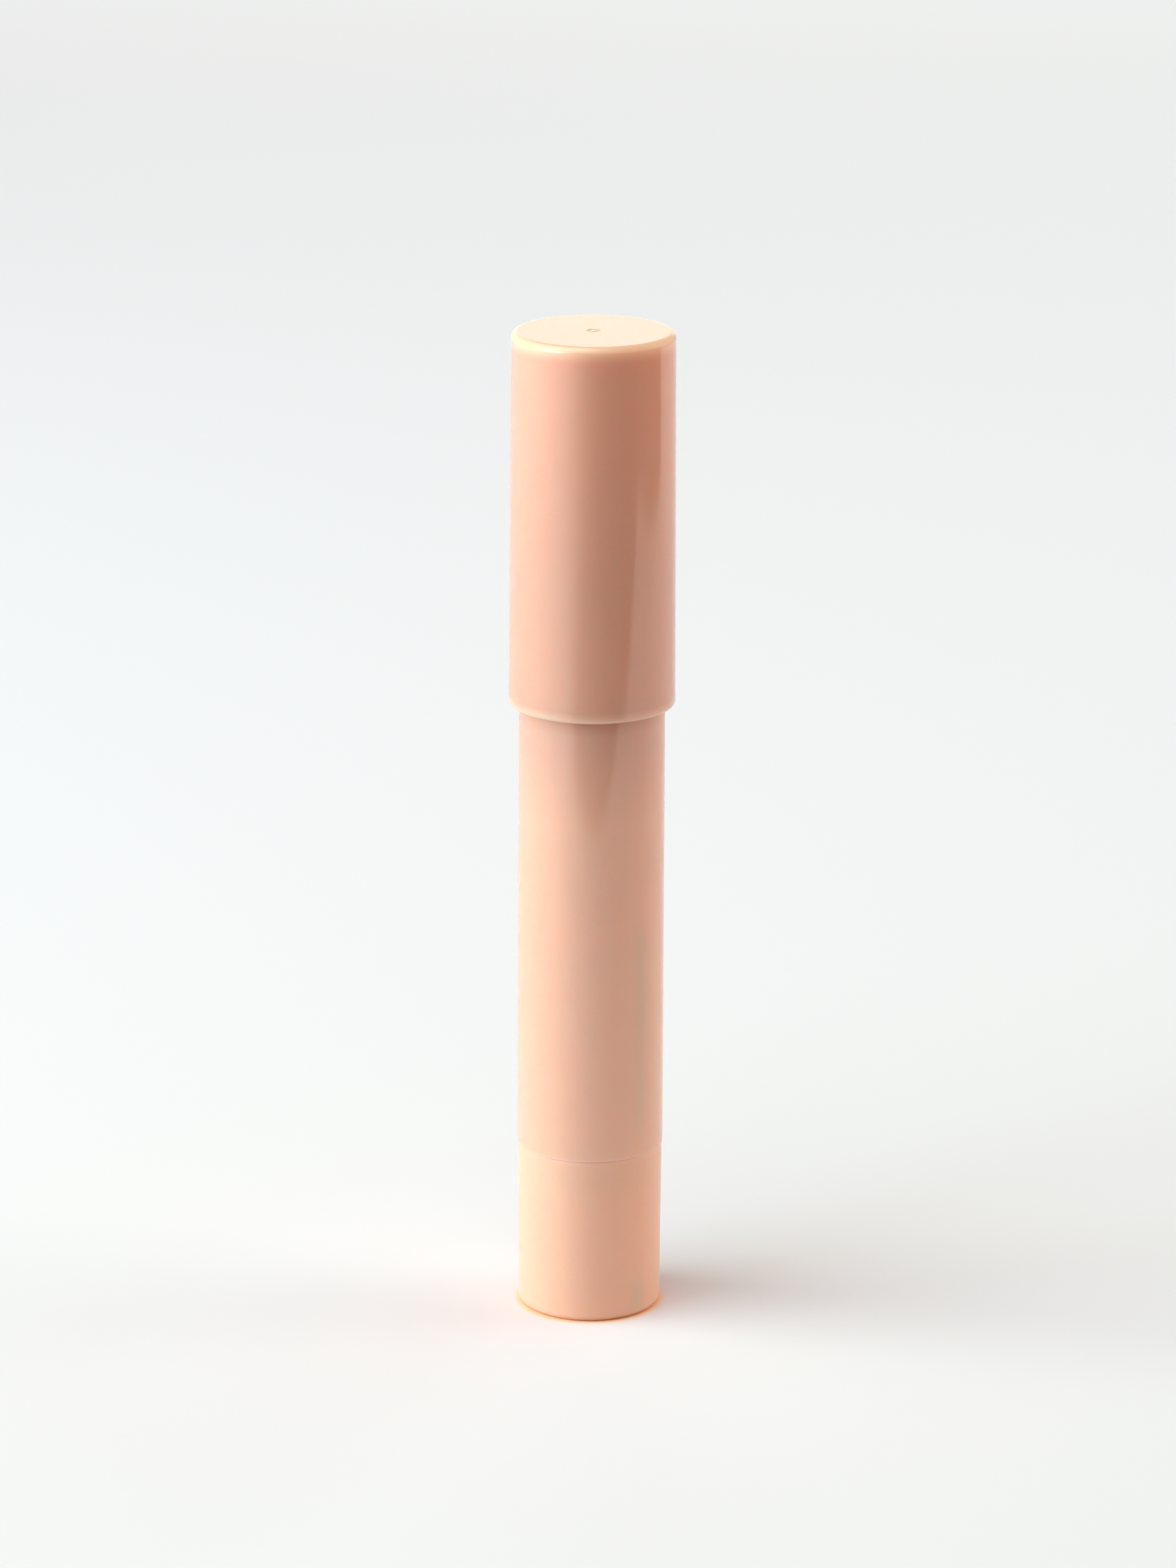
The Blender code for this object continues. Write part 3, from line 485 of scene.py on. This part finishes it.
# Inner cap: seals on the neck, held in the shell by fins

liner = {
    "throat": 5.65, "wall": 0.6, "seal": 6.45, "seat": 6.87, "lip": 0.2, "stepHeight": 7.49,
    "crownEdge": 1.6, "finCount": 8, "finWidth": 0.5, "finReach": 6.77, "sides": 128,
}


def makeLiner():
    foot, top, _ = reach("cap_liner")
    outer = liner["throat"] + liner["wall"]
    step = foot + liner["stepHeight"]
    shoulder = step + liner["wall"]
    edge, lip = liner["crownEdge"], liner["lip"]
    outline = [(0, top)] + corner(outer - edge, top - edge, edge, 90, 0, steps=10)
    outline += [
        (outer, shoulder), (liner["seat"], shoulder), (liner["seat"], foot + lip),
        (liner["seat"] - lip, foot), (liner["seal"] + lip, foot), (liner["seal"], foot + lip),
        (liner["seal"], step), (liner["throat"], step)]
    outline += corner(outer - edge, top - edge, edge - liner["wall"], 0, 90, steps=10)
    outline += [(0, top - liner["wall"])]
    shell = turnedPiece("linerShell", outline, liner["sides"], innerWhite)
    fins = barRing("linerFins", outer - liner["wall"] / 2, liner["finReach"], liner["finWidth"],
                   shoulder - liner["wall"] / 2, top - 2 * edge, liner["finCount"], 0.0, innerWhite)
    stand(joinPieces("capLiner", [shell, fins], innerWhite), "cap_liner", "cap")


makeLiner()
print("cap made")


# Barrel: the long glossy sleeve, with a rib and splines inside

barrel = {
    "topRadius": 7.12, "topEdge": 0.3, "edge": 0.1, "seamCover": 0.19, "bore": 6.25, "leadIn": 0.2,
    "ribBore": 5.45, "ribFoot": 39.35, "ribTop": 40.35, "splineCount": 4, "splineWidth": 1.0,
    "splineReach": 6.0, "splineFoot": 20.0, "splineInWall": 0.4, "splineInRib": 0.5, "sides": 256,
}


def makeBarrel():
    foot, top, footRadius = reach("barrel_sleeve")
    foot -= barrel["seamCover"]        # the seam shows as a fine light line, painted in the barrel's finish, with no dark slot
    edge, topEdge = barrel["edge"], barrel["topEdge"]
    bore, lead = barrel["bore"], barrel["leadIn"]
    outline = corner(barrel["topRadius"] - topEdge, top - topEdge, topEdge, 90, 0, steps=8)
    outline += corner(footRadius - edge, foot + edge, edge, 0, -90, steps=10)
    outline += [
        (bore + lead, foot), (bore, foot + lead), (bore, barrel["ribFoot"]),
        (barrel["ribBore"], barrel["ribFoot"]), (barrel["ribBore"], barrel["ribTop"]),
        (bore, barrel["ribTop"]), (bore, top - lead), (bore + lead, top)]
    sleeve = turnedPiece("barrelTube", outline, barrel["sides"], barrelGloss)
    splines = barRing("barrelSplines", barrel["splineReach"], bore + barrel["splineInWall"],
                      barrel["splineWidth"], barrel["splineFoot"],
                      barrel["ribFoot"] + barrel["splineInRib"], barrel["splineCount"],
                      eighthTurn, barrelGloss)
    stand(joinPieces("barrelSleeve", [sleeve, splines], barrelGloss),
          "barrel_sleeve", "barrel")


makeBarrel()


# Neck collar: the spigot, the flange on the barrel's rim and the neck with its snap bead

neck = {
    "bore": 5.45, "rimWall": 0.56, "rimEdge": 0.18, "rootRadius": 6.13, "beadRadius": 6.25,
    "beadRise": 2.8, "beadFlat": 0.4, "beadSlope": 0.3, "flangeRadius": 6.82, "flangeFoot": 63.31,
    "flangeTop": 64.01, "spigot": 6.1, "edge": 0.15, "gripRise": 0.07, "gripDrop": 3.0, "sides": 160,
}


def makeNeck():
    foot, top, _ = reach("neck_collar")
    edge, rim, slope = neck["edge"], neck["rimEdge"], neck["beadSlope"]
    bore, spigot, root = neck["bore"], neck["spigot"], neck["rootRadius"]
    bead = neck["flangeTop"] + neck["beadRise"]
    grip = neck["flangeFoot"] - neck["gripDrop"]
    outline = corner(bore + rim, top - rim, rim, 180, 90, steps=5)
    outline += corner(bore + neck["rimWall"] - rim, top - rim, rim, 90, 0, steps=5)
    outline += [
        (root, bead + neck["beadFlat"] + 2 * slope),
        (neck["beadRadius"], bead + neck["beadFlat"] + slope), (neck["beadRadius"], bead + slope),
        (root, bead), (root, neck["flangeTop"])]
    outline += corner(neck["flangeRadius"] - edge, neck["flangeTop"] - edge, edge, 90, 0, steps=4)
    outline += [
        (neck["flangeRadius"], neck["flangeFoot"]), (spigot, neck["flangeFoot"]), (spigot, grip + slope),
        (spigot + neck["gripRise"], grip), (spigot, grip - slope), (spigot, foot + edge),
        (spigot - edge, foot), (bore + edge, foot), (bore, foot + edge)]
    piece = turnedPiece("neckCollar", outline, neck["sides"], neckPlastic)
    stand(piece, "neck_collar", "barrel")


makeNeck()
print("barrel and neck made")


# Base knob: satin, with a foot ring, drive ribs and the groove that snaps on the guide

knob = {
    "topRadius": 7.11, "footRadius": 7.01, "topEdge": 0.05, "footEdge": 0.7, "bore": 5.96,
    "leadIn": 0.25, "snapRadius": 6.21, "snapHeight": 14.4, "snapHalf": 0.45, "floor": 1.3,
    "footRing": 1.4, "recess": 0.3, "ribCount": 4, "ribDepth": 0.8, "ribWidth": 1.2, "ribFoot": 0.65,
    "ribTop": 3.5, "ribInWall": 0.5, "gateRadius": 0.75, "gateDepth": 0.12, "nubDrop": 0.04,
    "sides": 256,
}


def makeKnob():
    foot, top, _ = reach("base_knob")
    edge, topEdge, lead = knob["footEdge"], knob["topEdge"], knob["leadIn"]
    bore, snap = knob["bore"], knob["snapRadius"]
    snapFoot, snapTop = knob["snapHeight"] - knob["snapHalf"], knob["snapHeight"] + knob["snapHalf"]
    slope = snap - bore
    ring = knob["footRadius"] - knob["footRing"]
    face, floorTop = foot + knob["recess"], foot + knob["floor"]
    outline = gateMark(knob, face, -1)
    outline += [(ring - knob["recess"], face), (ring, foot)]
    outline += corner(knob["footRadius"] - edge, foot + edge, edge, -90, 0, steps=12)
    outline += corner(knob["topRadius"] - topEdge, top - topEdge, topEdge, 0, 90, steps=5)
    outline += [
        (bore + lead, top), (bore, top - lead), (bore, snapTop + slope), (snap, snapTop),
        (snap, snapFoot), (bore, snapFoot - slope), (bore, floorTop), (0, floorTop)]
    shell = turnedPiece("knobShell", outline, knob["sides"], knobSatin)
    ribs = barRing("knobRibs", bore - knob["ribDepth"], bore + knob["ribInWall"], knob["ribWidth"],
                   foot + knob["ribFoot"], foot + knob["ribTop"], knob["ribCount"], eighthTurn,
                   knobSatin)
    stand(joinPieces("baseKnob", [shell, ribs], knobSatin), "base_knob", "twist")


makeKnob()
print("base knob made")


# Balm: a round bar with a rounded tip

balm = {"tipLength": 6.8, "tipPower": 1.75, "rings": 97, "sides": 129}


def makeBalm():
    foot, top, radius = reach("balm_stick")
    piece = runTree("balmStick", bulletTree, {
        "Radius": radius * mm, "Shoulder": (top - foot - balm["tipLength"]) * mm,
        "Tip length": balm["tipLength"] * mm, "Tip power": balm["tipPower"], "Foot height": foot * mm,
        "Rings": balm["rings"], "Sides": balm["sides"], "Weld": weldDistance, "Material": balmWax})
    bm = bmesh.new()
    bm.from_mesh(piece.data)
    openEdges = [e for e in bm.edges if e.is_boundary]
    bmesh.ops.holes_fill(bm, edges=openEdges, sides=0)        # closes the flat foot
    bm.to_mesh(piece.data)
    bm.free()
    stand(finishMesh(piece), "balm_stick", "carrier")


makeBalm()


# Cup that carries the balm, with a skirt round the pusher's stem

cup = {
    "skirtBore": 4.0, "skirtRadius": 4.6, "radius": 5.25, "bore": 4.8, "vent": 0.7, "footHeight": 39.5,
    "floorHeight": 40.4, "edge": 0.15, "sides": 128,
}


def makeCup():
    foot, top, _ = reach("balm_cup")
    edge, base, floorTop = cup["edge"], cup["footHeight"], cup["floorHeight"]
    outline = [
        (cup["vent"], floorTop), (cup["vent"], base), (cup["skirtBore"], base),
        (cup["skirtBore"], foot + edge), (cup["skirtBore"] + edge, foot), (cup["skirtRadius"], foot),
        (cup["skirtRadius"], base), (cup["radius"] - edge, base), (cup["radius"], base + edge)]
    outline += corner(cup["radius"] - edge, top - edge, edge, 0, 90, steps=4)
    outline += [(cup["bore"], top), (cup["bore"], floorTop)]
    piece = turnedPiece("balmCup", outline, cup["sides"], innerWhite)
    stand(piece, "balm_cup", "carrier")


makeCup()
print("balm and cup made")


# Solids that stay as they are, with their own finishes

keptFinishes = {
    "guide_sleeve": innerClear, "drive_insert": innerWhite, "lead_screw": innerWhite,
    "pusher_nut": innerWhite, "drag_ring": ringRubber, "seal_ring": ringRubber,
}
for node, material in keptFinishes.items():
    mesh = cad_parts[node].data
    mesh.materials.clear()
    mesh.materials.append(material)
print("kept solids finished")


# Floor: a pale disc whose rim melts into the air

floor = {        # lengths in metres, but the painted glow round the foot in millimetres
    "radius": 1.2, "sides": 96, "fade": (0.6, 0.95), "roughness": 0.7, "specular": 0.2,
    "colour": (0.722, 0.692, 0.672), "cloudColour": (0.708, 0.678, 0.658), "cloudScale": 3.0,
    "cloudDetail": 2.0, "paintedFarLight": (0.855, 0.805, 0.834), "far": (-0.15, 0.6), "glow": (7.7, 6.9),
    "paintedGlowColour": (0.90, 0.62, 0.36),
}


def paleFloor():
    material, tree, shader, place = startMaterial("paleFloor")
    cloud = noise(tree, place, floor["cloudScale"], floor["cloudDetail"])
    colour = blend(tree, cloud, floor["colour"], floor["cloudColour"])
    backward = addNode(tree, "ShaderNodeSeparateXYZ", {"Vector": place}).outputs["Y"]
    # painted light: the floor is paler towards the back, where less of the lamps' light falls
    colour = blend(tree, remap(tree, backward, *floor["far"]), colour, floor["paintedFarLight"])
    outward = addNode(tree, "ShaderNodeVectorMath", {0: place}, operation="LENGTH").outputs["Value"]
    outer, inner = floor["glow"]        # painted glow: warm light that comes through the foot, painted onto the floor
    glow = remap(tree, outward, outer * mm, inner * mm, smooth=True)
    plug(tree, blend(tree, glow, colour, floor["paintedGlowColour"]), shader.inputs["Base Color"])
    plug(tree, floor["roughness"], shader.inputs["Roughness"])
    plug(tree, floor["specular"], shader.inputs["Specular IOR Level"])
    turnClear(tree, shader, remap(tree, outward, *floor["fade"], smooth=True))
    return material


def makeFloor():
    bm = bmesh.new()
    bmesh.ops.create_circle(bm, cap_ends=True, segments=floor["sides"], radius=floor["radius"])
    addObject("floor", takeMesh(bm, "floor", paleFloor()))


makeFloor()


# Dark card round the lit part of the floor, out of the picture: a dark sheet put in as the unlit floor
# beyond, its painted shade fading in from the floor's colour; the gloss mirrors its left edge as a
# painted dark reflection

card = {        # in metres; the fade starts at the outline's second point and widens towards the front
    "outline": ((-1.2, -1.35), (-0.108, -0.177), (0.12, -0.167), (0.30, -0.16), (0.335, -0.155),
                (0.345, 0.108), (2.0, 0.63), (2.0, -2.0), (-1.2, -2.0)),
    "lift": 0.0004, "colour": (0.03, 0.028, 0.027), "roughness": 0.9, "inward": (0.735, -0.678),
    "fade": 0.012, "fadeGrowth": 1.1,
}


def paintedShadeCard():
    material, tree, shader, place = startMaterial("paintedShadeCard")
    split = addNode(tree, "ShaderNodeSeparateXYZ", {"Vector": place})
    (x, y), (inwardX, inwardY) = card["outline"][1], card["inward"]
    offsetX = calc(tree, "MULTIPLY", calc(tree, "SUBTRACT", split.outputs["X"], x), inwardX)
    offsetY = calc(tree, "SUBTRACT", split.outputs["Y"], y)
    depth = calc(tree, "MULTIPLY_ADD", offsetY, inwardY, offsetX)
    width = calc(tree, "MULTIPLY_ADD", calc(tree, "MINIMUM", offsetY, 0.0), -card["fadeGrowth"],
                 card["fade"])
    share = remap(tree, calc(tree, "DIVIDE", depth, width), 0.0, 1.0, smooth=True)
    plug(tree, blend(tree, share, floor["colour"], card["colour"]), shader.inputs["Base Color"])
    plug(tree, card["roughness"], shader.inputs["Roughness"])
    below = tree.nodes.new("ShaderNodeNewGeometry").outputs["Backfacing"]
    turnClear(tree, shader, below)        # so that the floor under the card stays lit
    return material


def makeCard():
    bm = bmesh.new()
    bm.faces.new([bm.verts.new((x, y, card["lift"])) for x, y in card["outline"]]).normal_flip()
    bmesh.ops.triangulate(bm, faces=bm.faces)
    sheet = addObject("darkCard", takeMesh(bm, "darkCard", paintedShadeCard()))
    sheet.visible_camera = False
    sheet.visible_shadow = False


makeCard()


# Light and camera

lamps = {        # name: degrees round from the camera's side, degrees up, width, power, colour, mirrored
    "keyLow": (270, 10, 0.70, 12.2, (0.76, 0.985, 1.0), False),
    "keyFront": (300, 10, 0.70, 7.8, (0.60, 0.84, 1.0), True),
    "keyHigh": (304, 62, 1.10, 8.7, (0.94, 0.955, 0.94), True),
    "behind": (180, 10, 0.70, 1.4, (0.9, 1.0, 0.86), True),
    "backRight": (122, 35, 1.10, 4.3, (0.76, 1.0, 0.98), False),
    "fillRight": (90, 10, 0.70, 6.4, (0.91, 0.88, 0.83), False),
}
lampTarget = Vector((0, 0, 0.05))
lampDistance = 1.0


def makeLamps():
    for name, (around, up, width, power, colour, mirrored) in lamps.items():
        turn, rise = math.radians(around), math.radians(up)
        aside = math.cos(rise)
        outward = Vector((math.sin(turn) * aside, -math.cos(turn) * aside, math.sin(rise)))
        data = bpy.data.lights.new(name, "AREA")
        data.shape = "DISK"
        data.size = width
        data.energy = power
        data.color = colour
        lamp = addObject(name, data)
        lamp.location = lampTarget + outward * lampDistance
        lamp.rotation_euler = outward.to_track_quat("Z", "Y").to_euler()
        lamp.visible_camera = False
        lamp.visible_glossy = mirrored


makeLamps()

air = {        # plain studio air: what lights, what the gloss mirrors and what the camera sees
    "light": (0.13, 0.075, 0.072), "mirrored": (0.42, 0.42, 0.42), "seen": (0.86, 0.87, 0.87),
}


def makeWorld():
    world = bpy.data.worlds.new("studioAir")
    world.use_nodes = True
    tree = world.node_tree
    path = tree.nodes.new("ShaderNodeLightPath")
    shade = blend(tree, path.outputs["Is Glossy Ray"], air["light"], air["mirrored"])
    shade = blend(tree, path.outputs["Is Camera Ray"], shade, air["seen"])
    tree.links.new(shade, tree.nodes["Background"].inputs["Color"])
    scene.world = world


makeWorld()

view = {        # where the photograph's camera stands, in metres, and how it looks, in degrees and pixels
    "place": (-0.00034, -0.5608, 0.2207), "pitchDown": 16.611, "roll": 0.275, "focalPixels": 8482,
    "longSide": 2212, "sensor": 36.0,
}


def makeCamera():
    data = bpy.data.cameras.new("photoCamera")
    data.sensor_width = view["sensor"]
    data.lens = view["focalPixels"] / view["longSide"] * view["sensor"]
    camera = addObject("photoCamera", data)
    tilt = Matrix.Rotation(math.radians(90 - view["pitchDown"]), 4, "X")
    roll = Matrix.Rotation(math.radians(view["roll"]), 4, "Z")
    camera.matrix_world = Matrix.Translation(view["place"]) @ tilt @ roll
    scene.camera = camera


makeCamera()
scene.view_settings.view_transform = "Standard"
print("floor, lamps and camera made")
